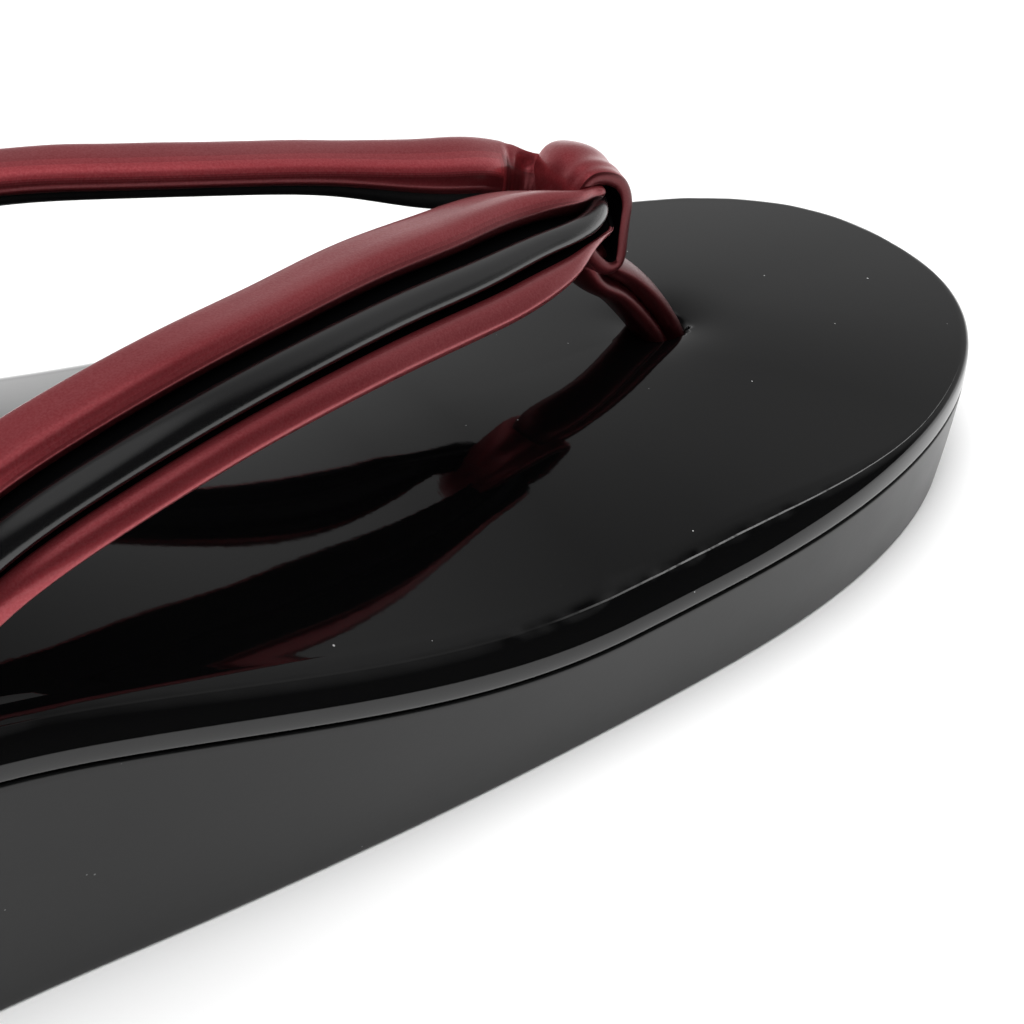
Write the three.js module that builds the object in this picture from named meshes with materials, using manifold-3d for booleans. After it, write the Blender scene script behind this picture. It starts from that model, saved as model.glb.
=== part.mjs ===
// A zori: a wedge sole in black patent, a padded top board with a rolled edge,
// two padded burgundy straps with a black centre roll, and a front thong.
// Millimetres. +X points to the toe, +Y to the left side, +Z up. The origin is
// on the floor, under the middle of the sole. Distances named "s" run back
// from the toe tip along the sole.
import * as THREE from 'three';
import Module from 'manifold-3d';

// ---- driving sizes ---------------------------------------------------------
const LENGTH = 243;            // toe tip to heel end
const WIDTH = 84;              // widest, across the ball of the foot
const TOE_LENGTH = 75.5;       // toe tip back to the widest line
const TOE_POWER = 2.28;        // roundness of the toe
const TAPER_RATE = 0.001406;   // how fast the side line turns in behind the ball
const TAPER_PEAK = 165;        // s where the side line turns in most
const TAPER_END = 210;         // s where the side line runs straight again
const HEEL_LENGTH = 50;        // length of the rounded heel
const HEEL_POWER = 2.2;        // roundness of the heel

const SEAM_TOE = 16.26;        // height of the seam under the top board at the toe
const SEAM_HEEL = 37.12;       // and at the heel
const WEDGE_START = 93.7;      // s where the wedge begins to rise
const WEDGE_END = 196.2;       // s where it is level again
const BASE_INSET = 1.26;       // the wall leans in by this at the floor
const FLOOR_EDGE = 0.7;        // bevel at the floor
const SEAM_ROUND = 0.4;        // rounding of the wall's upper edge
const SEAM_GAP = 0.3;          // gap along the seam

const CROWN = 6.8;             // rise of the padded top from rim to middle
const CROWN_POWER = 1.5;       // how its slope grows towards the rim
const CROWN_SOFT = 0.42;       // how round its ridge is
const TOE_DROP = 3.6;          // how much lower the ridge is at its front end
const DROP_FROM = 58;          // s where the ridge is lowest
const DROP_TO = 108;           // s where it has its full height
const TOE_FROM = 30;           // s up to which the edge rolls over tightly
const TOE_TO = 75;             // s from which it rolls over broadly
const SPINE_FRONT = 60;        // the crown's ridge runs from here
const SPINE_REAR = 196;        // to here
const OUTLINE_STEPS = 44;      // facets along each side

const CLEAR = 0.4;             // room around a strap or leg in its hole
const BAND = 2.0;              // thickness of the thong's leather band
const BAND_HALF = 5.7;         // half the width of the band
const BAND_BULGE = 1.1;        // how far the band swells in its middle
const LEG_HALF_THICK = 1.75;   // half thickness of one thong leg

// The top board's rolled edge, from the seam up: how far in from the outline,
// and how high above the seam, along the sides and around the toe.
const RIM = [
  { inset: 0.3, rise: 0.0, toeInset: 0.31, toeRise: 0.0 },
  { inset: 0.0, rise: 0.74, toeInset: 0.0, toeRise: 0.79 },
  { inset: 0.13, rise: 1.78, toeInset: 0.05, toeRise: 2.1 },
  { inset: 0.47, rise: 2.67, toeInset: 0.2, toeRise: 3.28 },
  { inset: 1.08, rise: 3.52, toeInset: 0.34, toeRise: 3.62 },
  { inset: 1.95, rise: 4.34, toeInset: 0.62, toeRise: 3.95 },
  { inset: 3.1, rise: 5.13, toeInset: 1.05, toeRise: 4.19 },
  { inset: 5.48, rise: 6.16, toeInset: 1.73, toeRise: 4.34 },
];
const CROWN_STEPS = [0.2, 0.45, 0.72]; // rings between the rim and the ridge

// One strap from the joint at the front to its end in the side hole. s, y, z
// place its middle; out is the way its face looks, in degrees from the toe
// round to the side; roll turns its lower edge down; wide and thick scale its
// section, and low its lower pad, which tapers to a tip at the front.
const STRAP = [
  { s: 69.6, y: 0.0, z: 52.3, out: 0, roll: 13, wide: 0.41, thick: 1.22, low: 0.12 },
  { s: 70.0, y: 3.2, z: 52.2, out: 28.5, roll: 19, wide: 0.41, thick: 1.24, low: 0.12 },
  { s: 71.4, y: 5.6, z: 52.8, out: 51, roll: 25, wide: 0.44, thick: 1.27, low: 0.12 },
  { s: 74.4, y: 8.3, z: 53.7, out: 64, roll: 27, wide: 0.58, thick: 1.24, low: 0.14 },
  { s: 80.0, y: 11.1, z: 55.3, out: 68.5, roll: 25, wide: 0.89, thick: 1.12, low: 0.36 },
  { s: 88.0, y: 13.1, z: 57.1, out: 73, roll: 23, wide: 1.07, thick: 1.03, low: 0.72 },
  { s: 100.0, y: 16.3, z: 59.3, out: 77, roll: 27, wide: 1.08, thick: 1.0, low: 0.97 },
  { s: 115.0, y: 20.0, z: 62.0, out: 77, roll: 30, wide: 1.07, thick: 1.0, low: 1 },
  { s: 130.0, y: 24.1, z: 64.4, out: 76, roll: 31, wide: 1.02, thick: 1.0, low: 1 },
  { s: 145.0, y: 27.4, z: 65.7, out: 78, roll: 36, wide: 0.98, thick: 1.0, low: 1 },
  { s: 160.0, y: 29.2, z: 64.7, out: 85, roll: 38, wide: 0.98, thick: 1.0, low: 1 },
  { s: 170.0, y: 29.0, z: 61.9, out: 90, roll: 42, wide: 0.97, thick: 1.0, low: 1 },
  { s: 178.0, y: 28.0, z: 56.9, out: 93, roll: 52, wide: 0.93, thick: 1.0, low: 1 },
  { s: 183.5, y: 27.5, z: 50.7, out: 93, roll: 68, wide: 0.84, thick: 1.0, low: 1 },
  { s: 187.0, y: 26.6, z: 45.0, out: 93, roll: 80, wide: 0.76, thick: 0.98, low: 1 },
  { s: 189.0, y: 25.6, z: 39.5, out: 93, roll: 84, wide: 0.72, thick: 0.96, low: 1 },
  { s: 190.0, y: 25.0, z: 34.0, out: 93, roll: 86, wide: 0.7, thick: 0.95, low: 1 },
  { s: 190.4, y: 24.8, z: 29.5, out: 93, roll: 86, wide: 0.7, thick: 0.95, low: 1 },
];
const TURN_ROWS = 4;           // rows in the tight turn at the joint
const TURN_SUBSTEPS = 4;       // facets between two rows there
const STRAP_SUBSTEPS = 2;      // and along the rest of the strap
const ROLL_START = 0.9;        // row where the black roll's tip is
const ROLL_STOP = 16.8;        // row where it ends inside the hole

// The strap's section at full size: the broad upper pad, whose face lies level
// once the strap is rolled, its flat lining, the narrow lower pad, and the
// channel between the pads. u runs across the strap to its lower edge, n out of
// its face.
const SECTION_ROWS = [
  { u: -3.35, n: 0.6 }, { u: -3.7, n: 1.7 }, { u: -4.6, n: 2.2 }, { u: -5.7, n: 2.36 }, { u: -6.8, n: 1.8 },
  { u: -8.0, n: 0.85 }, { u: -9.6, n: -0.5 }, { u: -10.15, n: -1.6 }, { u: -9.6, n: -2.55 },
  { u: 5.0, n: -2.62 }, { u: 6.4, n: -1.2 }, { u: 6.88, n: 0.4 }, { u: 6.7, n: 1.25 }, { u: 5.8, n: 1.72 },
  { u: 4.7, n: 1.86 }, { u: 3.9, n: 1.45 }, { u: 3.25, n: 0.7 },
  { u: 3.2, n: -0.85 }, { u: -3.4, n: -0.85 },
];
const LOW_PAD_FROM = 3.05;     // u from which the lower pad tapers at the front
// The black roll lies in the channel, pressed a little flat.
const ROLL = { u: 0.4, n: 1.15, broad: 2.0, thin: 1.35, lie: 10, steps: 10 };

// The thong's ring, seen from the side: s and z around the loop.
const RING = [
  { s: 65.0, z: 41.8 },
  { s: 63.3, z: 46.2 },
  { s: 62.6, z: 51.0 },
  { s: 64.2, z: 55.7 },
  { s: 68.4, z: 58.7 },
  { s: 72.4, z: 58.9 },
  { s: 75.2, z: 55.5 },
  { s: 75.0, z: 50.0 },
  { s: 72.6, z: 45.0 },
  { s: 68.8, z: 41.2 },
];
const RING_STEPS = 28;

// The middle line of the thong's two legs, from the ring down into the hole,
// with half their width across the foot and half the distance between them.
const LEGS = [
  { s: 68.7, z: 43.6, half: 3.6, apart: 0.9 },
  { s: 66.8, z: 40.6, half: 4.2, apart: 1.45 },
  { s: 63.2, z: 37.6, half: 3.9, apart: 1.5 },
  { s: 57.6, z: 32.0, half: 3.5, apart: 1.55 },
  { s: 53.2, z: 26.2, half: 3.2, apart: 1.5 },
  { s: 50.6, z: 21.6, half: 3.0, apart: 1.5 },
  { s: 49.4, z: 16.8, half: 2.9, apart: 1.5 },
  { s: 49.1, z: 12.2, half: 2.9, apart: 1.5 },
];

// ---- helpers ---------------------------------------------------------------
const X = (s) => LENGTH / 2 - s;
const rad = THREE.MathUtils.degToRad;
const wasm = await Module();
wasm.setup();

// A closed mesh from points and faces, with equal points shared and faces
// that fold to nothing left out.
function closedMesh(points, faces) {
  const ids = new Map();
  const position = [];
  const id = points.map((p) => {
    const key = [p.x, p.y, p.z].map((v) => Math.round(v * 1e4)).join();
    if (!ids.has(key)) {
      ids.set(key, position.length / 3);
      position.push(p.x, p.y, p.z);
    }
    return ids.get(key);
  });
  const index = [];
  for (const face of faces) {
    const [a, b, c] = face.map((i) => id[i]);
    if (a !== b && b !== c && c !== a) index.push(a, b, c);
  }
  const geometry = new THREE.BufferGeometry();
  geometry.setAttribute('position', new THREE.Float32BufferAttribute(position, 3));
  geometry.setIndex(index);
  return geometry;
}

// Joins closed rings of points, one after the other, with a cap of triangles
// over the first and the last where a flat section is given.
function loft(rings, section = null) {
  const count = rings[0].length;
  const points = rings.flat();
  const faces = [];
  for (let r = 0; r + 1 < rings.length; r++) {
    for (let i = 0; i < count; i++) {
      const j = (i + 1) % count;
      const a = r * count + i, b = r * count + j;
      faces.push([a, b, b + count], [a, b + count, a + count]);
    }
  }
  if (section) {
    const last = (rings.length - 1) * count;
    for (const [a, b, c] of THREE.ShapeUtils.triangulateShape(section, [])) {
      faces.push([a, c, b], [last + a, last + b, last + c]);
    }
  }
  return closedMesh(points, faces);
}

function solid(geometry) {
  const made = new wasm.Manifold(new wasm.Mesh({
    numProp: 3,
    vertProperties: new Float32Array(geometry.attributes.position.array),
    triVerts: new Uint32Array(geometry.index.array),
  }));
  return made;
}

function geometryOf(manifold) {
  const mesh = manifold.getMesh();
  const geometry = new THREE.BufferGeometry();
  const position = [];
  for (let i = 0; i < mesh.vertProperties.length; i += mesh.numProp) {
    position.push(mesh.vertProperties[i], mesh.vertProperties[i + 1], mesh.vertProperties[i + 2]);
  }
  geometry.setAttribute('position', new THREE.Float32BufferAttribute(position, 3));
  geometry.setIndex(Array.from(mesh.triVerts));
  return geometry;
}

function smooth(t) {
  const c = THREE.MathUtils.clamp(t, 0, 1);
  return c * c * (3 - 2 * c);
}

// A value of a table's column at a fractional row, on a smooth curve.
function column(table, name, at) {
  const i = Math.min(Math.floor(at), table.length - 2);
  const value = (k) => table[THREE.MathUtils.clamp(k, 0, table.length - 1)][name];
  const t = at - i;
  const p0 = value(i - 1), p1 = value(i), p2 = value(i + 1), p3 = value(i + 2);
  return p1 + 0.5 * t * (p2 - p0 + t * (2 * p0 - 5 * p1 + 4 * p2 - p3 + t * (3 * (p1 - p2) + p3 - p0)));
}

// ---- sole ------------------------------------------------------------------
function halfWidth(s) {
  let half = WIDTH / 2;
  if (s > TOE_LENGTH) {
    const steep = Math.min(s, TAPER_PEAK) - TOE_LENGTH;
    half -= (TAPER_RATE / 2) * steep * steep;
  }
  if (s > TAPER_PEAK) {
    const span = TAPER_END - TAPER_PEAK;
    const past = Math.min(s - TAPER_PEAK, span);
    half -= TAPER_RATE * (TAPER_PEAK - TOE_LENGTH) * (past - (past * past) / (2 * span));
  }
  const toe = THREE.MathUtils.clamp(1 - s / TOE_LENGTH, 0, 1);
  const heel = THREE.MathUtils.clamp((s - (LENGTH - HEEL_LENGTH)) / HEEL_LENGTH, 0, 1);
  return half * Math.pow(1 - Math.pow(toe, TOE_POWER), 1 / TOE_POWER)
    * Math.pow(1 - Math.pow(heel, HEEL_POWER), 1 / HEEL_POWER);
}

function seamHeight(s) {
  return SEAM_TOE + (SEAM_HEEL - SEAM_TOE) * smooth((s - WEDGE_START) / (WEDGE_END - WEDGE_START));
}

// The outline from the toe tip along the left side to the heel, in steps of
// equal length, and back along the right side.
function soleOutline() {
  const fine = [];
  for (let i = 0; i <= 2000; i++) {
    const s = (LENGTH / 2) * (1 - Math.cos((Math.PI * i) / 2000));
    fine.push(new THREE.Vector2(s, halfWidth(s)));
  }
  const run = [0];
  for (let i = 1; i < fine.length; i++) run.push(run[i - 1] + fine[i].distanceTo(fine[i - 1]));
  const side = [];
  for (let k = 0, i = 0; k <= OUTLINE_STEPS; k++) {
    const want = (run.at(-1) * k) / OUTLINE_STEPS;
    while (i < run.length - 2 && run[i + 1] < want) i++;
    side.push(fine[i].clone().lerp(fine[i + 1], (want - run[i]) / (run[i + 1] - run[i])));
  }
  const right = side.slice(1, -1).reverse().map((p) => new THREE.Vector2(p.x, -p.y));
  return [...side, ...right];
}
const OUTLINE = soleOutline();
const INWARD = OUTLINE.map((p, i) => {
  const before = OUTLINE[(i + OUTLINE.length - 1) % OUTLINE.length];
  const after = OUTLINE[(i + 1) % OUTLINE.length];
  return new THREE.Vector2(-(after.y - before.y), after.x - before.x).normalize().negate();
}).map((n, i) => {
  const toRidge = new THREE.Vector2(THREE.MathUtils.clamp(OUTLINE[i].x, SPINE_FRONT, SPINE_REAR), 0).sub(OUTLINE[i]);
  return n.dot(toRidge) < 0 ? n.negate() : n;
});
const RIDGE = OUTLINE.map((p) => new THREE.Vector2(THREE.MathUtils.clamp(p.x, SPINE_FRONT, SPINE_REAR), 0));

// How much of the tight toe edge there is at each point of the outline.
const TOE_SHARE = OUTLINE.map((p) => 1 - smooth((p.x - TOE_FROM) / (TOE_TO - TOE_FROM)));

// A ring around the sole: moved in from the outline, then part of the way to
// the ridge, at a height given over the point's s. The inset and the height
// may differ from point to point.
function soleRing(inset, part, height) {
  return OUTLINE.map((p, i) => {
    const move = typeof inset === 'number' ? inset : inset(i);
    const q = p.clone().addScaledVector(INWARD[i], move).lerp(RIDGE[i], part);
    return new THREE.Vector3(X(q.x), q.y, height(q.x, i));
  });
}

function soleBody() {
  const top = (drop) => (s) => seamHeight(s) - SEAM_GAP / 2 - drop;
  return loft([
    soleRing(0, 1, () => 0),
    soleRing(BASE_INSET + FLOOR_EDGE, 0.5, () => 0),
    soleRing(BASE_INSET + FLOOR_EDGE, 0, () => 0),
    soleRing(BASE_INSET, 0, () => FLOOR_EDGE),
    soleRing(0.05, 0, top(SEAM_ROUND)),
    soleRing(0.17, 0, top(SEAM_ROUND * 0.3)),
    soleRing(0.45, 0, top(0)),
    soleRing(0.45, 0.5, top(0)),
    soleRing(0, 1, top(0)),
  ]);
}

// The share of its rise the top has reached on the way from its edge (0) to its
// ridge (1).
function crownShare(part, i) {
  const half = (CROWN_POWER - 0.25 * TOE_SHARE[i]) / 2;
  const soft = CROWN_SOFT ** 2;
  const at = (away) => (away ** 2 + soft) ** half - soft ** half;
  return 1 - at(1 - part) / at(1);
}

function topBoard() {
  const edge = RIM.at(-1);
  const mix = (row, side, toe) => (i) => row[side] + (row[toe] - row[side]) * TOE_SHARE[i];
  const edgeInset = mix(edge, 'inset', 'toeInset'), edgeRise = mix(edge, 'rise', 'toeRise');
  const ridgeRise = (i) => edge.rise + CROWN - TOE_DROP * (1 - smooth((RIDGE[i].x - DROP_FROM) / (DROP_TO - DROP_FROM)));
  const above = (rise) => (s, i) => seamHeight(s) + SEAM_GAP / 2 + rise(i);
  const crowned = (part) => above((i) => edgeRise(i) + (ridgeRise(i) - edgeRise(i)) * crownShare(part, i));
  return loft([
    soleRing(0, 1, above(() => 0)),
    soleRing(mix(RIM[0], 'inset', 'toeInset'), 0.5, above(() => 0)),
    ...RIM.map((row) => soleRing(mix(row, 'inset', 'toeInset'), 0, above(mix(row, 'rise', 'toeRise')))),
    ...CROWN_STEPS.map((part) => soleRing(edgeInset, part, crowned(part))),
    soleRing(0, 1, above(ridgeRise)),
  ]);
}

// ---- straps ----------------------------------------------------------------
// The strap's place and directions at a row: along it, across it, and out of
// its face. side is +1 for the left strap and -1 for the right.
function strapPlace(at, side) {
  const point = (row) => {
    const mirror = row < 0 ? -1 : 1;
    const r = Math.min(Math.abs(row), STRAP.length - 1);
    const i = Math.min(Math.floor(r), STRAP.length - 2);
    const knot = (k) => {
      const flip = k < 0 ? -1 : 1;
      const { s, y, z } = STRAP[Math.min(Math.abs(k), STRAP.length - 1)];
      return new THREE.Vector3(X(s), flip * y, z);
    };
    const t = r - i;
    const [p0, p1, p2, p3] = [knot(i - 1), knot(i), knot(i + 1), knot(i + 2)];
    const axis = (c) => p1[c] + 0.5 * t * (p2[c] - p0[c] + t * (2 * p0[c] - 5 * p1[c] + 4 * p2[c] - p3[c]
      + t * (3 * (p1[c] - p2[c]) + p3[c] - p0[c])));
    return new THREE.Vector3(axis('x'), mirror * axis('y'), axis('z'));
  };
  const step = 0.02;
  const end = STRAP.length - 1;
  const along = point(Math.min(at + step, end)).sub(point(at - step)).normalize();
  const turn = rad(column(STRAP, 'out', at));
  const face = new THREE.Vector3(Math.cos(turn), Math.sin(turn), 0);
  face.addScaledVector(along, -face.dot(along)).normalize();
  const up = face.clone().cross(along).normalize();
  const roll = rad(column(STRAP, 'roll', at));
  const across = face.clone().multiplyScalar(Math.cos(roll)).addScaledVector(up, -Math.sin(roll));
  const out = face.clone().multiplyScalar(Math.sin(roll)).addScaledVector(up, Math.cos(roll));
  const mid = point(at);
  for (const v of [mid, across, out, along]) v.y *= side;
  const size = (name) => column(STRAP, name, at);
  return { mid, along, across, out, wide: size('wide'), thick: size('thick'), low: THREE.MathUtils.clamp(size('low'), 0.1, 1) };
}

function strapRing(place, section, grow = 0) {
  return section.map(({ x: u, y: n }) => place.mid.clone()
    .addScaledVector(place.across, u * place.wide + Math.sign(u) * grow)
    .addScaledVector(place.out, n * place.thick + Math.sign(n) * grow));
}

const SECTION = SECTION_ROWS.map(({ u, n }) => new THREE.Vector2(u, n));

// The section with its lower pad tapered.
function tapered(low) {
  return SECTION.map(({ x: u, y: n }) => (u < LOW_PAD_FROM
    ? new THREE.Vector2(u, n)
    : new THREE.Vector2(LOW_PAD_FROM + (u - LOW_PAD_FROM) * low, n * (0.22 + 0.78 * low))));
}

// A plain oval around the strap and its roll, for the holes and the ring.
const ENVELOPE = (() => {
  const across = SECTION_ROWS.map(({ u }) => u), out = SECTION_ROWS.map(({ n }) => n);
  const left = Math.min(...across), right = Math.max(...across);
  const high = ROLL.n + Math.hypot(ROLL.broad * Math.sin(rad(ROLL.lie)), ROLL.thin * Math.cos(rad(ROLL.lie)));
  const low = Math.min(...out);
  const cut = 1.5, inner = 0.4;
  return [
    [right, low + cut], [right, high - cut], [right - cut, high], [left + cut, high],
    [left, high - cut], [left, low + inner], [left + inner, low], [right - cut, low],
  ].map(([u, n]) => new THREE.Vector2(u, n));
})();

// Stations along one strap, as fractional rows.
const STATIONS = (() => {
  const list = [];
  for (let k = 0; k < TURN_ROWS * TURN_SUBSTEPS; k++) list.push(k / TURN_SUBSTEPS);
  for (let k = TURN_ROWS * STRAP_SUBSTEPS; k <= (STRAP.length - 1) * STRAP_SUBSTEPS; k++) list.push(k / STRAP_SUBSTEPS);
  return list;
})();

// Both straps, from the end of the right one over the joint to the end of the
// left one, with their own section or another one.
function bothStraps(section = null, grow = 0) {
  const right = STATIONS.slice(1).reverse().map((at) => strapPlace(at, -1));
  const left = STATIONS.map((at) => strapPlace(at, 1));
  for (const end of [right[0], left.at(-1)]) end.mid.addScaledVector(end.along, grow);
  return loft([...right, ...left].map((place) => strapRing(place, section ?? tapered(place.low), grow)), section ?? SECTION);
}

function blackRoll(side) {
  const lie = rad(ROLL.lie);
  const oval = Array.from({ length: ROLL.steps }, (_, i) => {
    const a = (2 * Math.PI * i) / ROLL.steps;
    return new THREE.Vector2(ROLL.broad * Math.cos(a), ROLL.thin * Math.sin(a)).rotateAround(new THREE.Vector2(), lie);
  });
  const tip = [{ back: 0, size: 0.35 }, { back: 0.06, size: 0.7 }, { back: 0.15, size: 0.92 }];
  const stations = tip.map(({ back, size }) => ({ at: ROLL_START + back, size }));
  for (const at of STATIONS) {
    if (at > ROLL_START + 0.2 && at < ROLL_STOP) stations.push({ at, size: 1 });
  }
  stations.push({ at: ROLL_STOP, size: 1 });
  const order = side > 0 ? stations : stations.reverse();
  const rings = order.map(({ at, size }) => strapRing(
    strapPlace(at, side),
    oval.map((c) => new THREE.Vector2(ROLL.u + size * c.x, ROLL.n + size * c.y)),
  ));
  return loft(rings, oval);
}

// ---- front thong -----------------------------------------------------------
const RING_LINE = new THREE.CatmullRomCurve3(RING.map(({ s, z }) => new THREE.Vector3(X(s), 0, z)), true, 'centripetal');

// The loop at a place across the foot, moved in by a distance.
function ringLoop(y, inset) {
  return Array.from({ length: RING_STEPS }, (_, i) => {
    const t = i / RING_STEPS;
    const p = RING_LINE.getPointAt(t);
    const along = RING_LINE.getTangentAt(t);
    const inward = new THREE.Vector3(-along.z, 0, along.x);
    return p.addScaledVector(inward, inset).setY(y);
  });
}

function ringSection(inset) {
  return ringLoop(0, inset).map((p) => new THREE.Vector2(p.x, p.z));
}

// The band's outside swells in its middle and is rounded at its edges.
function bandOutside() {
  const across = [-1, -0.9, -0.55, 0, 0.55, 0.9, 1].map((part) => ({
    y: part * BAND_HALF,
    inset: BAND_BULGE * part * part + (Math.abs(part) === 1 ? 0.5 : 0),
  }));
  return loft(across.map(({ y, inset }) => ringLoop(y, inset)), ringSection(0));
}

function bandInside() {
  const across = [-1.3, -0.55, 0, 0.55, 1.3].map((part) => ({ y: part * BAND_HALF, inset: BAND + BAND_BULGE * Math.min(part * part, 1) }));
  return loft(across.map(({ y, inset }) => ringLoop(y, inset)), ringSection(BAND));
}

function leg(offset, grow = 0) {
  const line = new THREE.CatmullRomCurve3(LEGS.map(({ s, z }) => new THREE.Vector3(X(s), 0, z)), false, 'centripetal');
  const steps = 10, sides = 12;
  const circle = Array.from({ length: sides }, (_, i) => new THREE.Vector2(Math.cos((2 * Math.PI * i) / sides), Math.sin((2 * Math.PI * i) / sides)));
  const rings = [];
  for (let k = 0; k <= steps; k++) {
    const t = k / steps;
    const at = t * (LEGS.length - 1);
    const p = line.getPoint(t), along = line.getTangent(t);
    const front = new THREE.Vector3(-along.z, 0, along.x);
    p.addScaledVector(front, offset * column(LEGS, 'apart', at));
    if (k === steps) p.addScaledVector(along, grow);
    const half = column(LEGS, 'half', at) + grow;
    rings.push(circle.map((c) => p.clone().addScaledVector(front, c.x * (LEG_HALF_THICK + grow)).setY(c.y * half)));
  }
  return loft(rings, circle);
}

function turnedOut(geometry) {
  // flips a loft whose faces point in
  const p = geometry.attributes.position, index = geometry.index.array;
  let volume = 0;
  const a = new THREE.Vector3(), b = new THREE.Vector3(), c = new THREE.Vector3();
  for (let i = 0; i < index.length; i += 3) {
    a.fromBufferAttribute(p, index[i]);
    b.fromBufferAttribute(p, index[i + 1]);
    c.fromBufferAttribute(p, index[i + 2]);
    volume += a.dot(b.cross(c));
  }
  if (volume < 0) {
    const turned = [];
    for (let i = 0; i < index.length; i += 3) turned.push(index[i], index[i + 2], index[i + 1]);
    geometry.setIndex(turned);
  }
  return geometry;
}
const body = (geometry) => solid(turnedOut(geometry));

// ---- the assembly ----------------------------------------------------------
const strapRoom = body(bothStraps(ENVELOPE, CLEAR));
const legRoom = body(leg(1, CLEAR)).add(body(leg(-1, CLEAR)));

const soleSolid = body(soleBody()).subtract(strapRoom).subtract(legRoom);
const topSolid = body(topBoard()).subtract(strapRoom).subtract(legRoom);
const thongSolid = body(bandOutside()).add(body(leg(1))).add(body(leg(-1)))
  .subtract(body(bandInside())).subtract(strapRoom);

const patent = { color: 0x0c0c0d, roughness: 0.1, metalness: 0.0 };
const burgundy = { color: 0x6b2430, roughness: 0.38, metalness: 0.25 };
const blackRollLook = { color: 0x151516, roughness: 0.32, metalness: 0.0 };

const zori = new THREE.Group();
function piece(name, geometry, look) {
  const mesh = new THREE.Mesh(geometry, new THREE.MeshStandardMaterial(look));
  mesh.name = name;
  zori.add(mesh);
}
piece('sole_body', geometryOf(soleSolid), patent);
piece('top_board', geometryOf(topSolid), patent);
piece('hanao_straps', turnedOut(bothStraps()), burgundy);
piece('black_roll_right', turnedOut(blackRoll(-1)), blackRollLook);
piece('black_roll_left', turnedOut(blackRoll(1)), blackRollLook);
piece('front_thong', geometryOf(thongSolid), burgundy);

export default zori;
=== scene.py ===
"""Looks of a zori: black patent sole and padded top board, burgundy padded
straps with a black centre roll, and a burgundy front thong.

Sizes are in millimetres until a mesh is made. +X points to the toe, +Y to the
left side, +Z up, and the origin is on the floor under the middle of the sole.
Distances named s run back from the toe tip.
"""

import math

import bpy
import numpy as np
from mathutils import Matrix, Vector


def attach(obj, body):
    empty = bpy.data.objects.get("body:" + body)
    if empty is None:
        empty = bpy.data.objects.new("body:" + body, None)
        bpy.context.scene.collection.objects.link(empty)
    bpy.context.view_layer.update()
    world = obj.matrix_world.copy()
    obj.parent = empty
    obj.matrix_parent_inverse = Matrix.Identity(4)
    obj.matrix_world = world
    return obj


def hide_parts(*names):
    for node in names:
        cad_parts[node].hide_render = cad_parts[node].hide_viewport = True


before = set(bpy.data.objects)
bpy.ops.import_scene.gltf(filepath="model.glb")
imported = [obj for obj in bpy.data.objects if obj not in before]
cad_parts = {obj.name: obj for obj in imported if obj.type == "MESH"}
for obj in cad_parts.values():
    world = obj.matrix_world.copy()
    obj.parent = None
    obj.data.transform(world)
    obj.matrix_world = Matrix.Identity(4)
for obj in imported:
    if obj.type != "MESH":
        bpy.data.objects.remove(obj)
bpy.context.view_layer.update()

# ---- sizes -----------------------------------------------------------------
LENGTH, WIDTH = 243.0, 84.0
TOE_LENGTH, TOE_POWER = 75.5, 2.28
TAPER_RATE, TAPER_PEAK, TAPER_END = 0.001406, 165.0, 210.0
HEEL_LENGTH, HEEL_POWER = 50.0, 2.2
SEAM_TOE, SEAM_HEEL = 16.26, 37.12
WEDGE_START, WEDGE_END = 93.7, 196.2
BASE_INSET, FLOOR_EDGE, SEAM_GAP = 1.26, 0.7, 0.3
CROWN, CROWN_POWER, CROWN_SOFT, TOE_DROP = 6.8, 1.5, 0.42, 3.6
SPINE_FRONT, SPINE_REAR, SPINE_SOFT = 60.0, 196.0, 10.0

# One strap from the joint at the front to its end in the side hole: s, y, z,
# the way its face looks, its roll, and the scales of its section.
STRAP = np.array([
    (69.6, 0.0, 52.3, 0, 13, 0.41, 1.22),
    (70.0, 3.2, 52.2, 28.5, 19, 0.41, 1.24),
    (71.4, 5.6, 52.8, 51, 25, 0.44, 1.27),
    (74.4, 8.3, 53.7, 64, 27, 0.58, 1.24),
    (80.0, 11.1, 55.3, 68.5, 25, 0.89, 1.12),
    (88.0, 13.1, 57.1, 73, 23, 1.07, 1.03),
    (100.0, 16.3, 59.3, 77, 27, 1.08, 1.0),
    (115.0, 20.0, 62.0, 77, 30, 1.07, 1.0),
    (130.0, 24.1, 64.4, 76, 31, 1.02, 1.0),
    (145.0, 27.4, 65.7, 78, 36, 0.98, 1.0),
    (160.0, 29.2, 64.7, 85, 38, 0.98, 1.0),
    (170.0, 29.0, 61.9, 90, 42, 0.97, 1.0),
    (178.0, 28.0, 56.9, 93, 52, 0.93, 1.0),
    (183.5, 27.5, 50.7, 93, 68, 0.84, 1.0),
    (187.0, 26.6, 45.0, 93, 80, 0.76, 0.98),
    (189.0, 25.6, 39.5, 93, 84, 0.72, 0.96),
    (190.0, 25.0, 34.0, 93, 86, 0.70, 0.95),
    (190.4, 24.8, 29.5, 93, 86, 0.70, 0.95),
])

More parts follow.
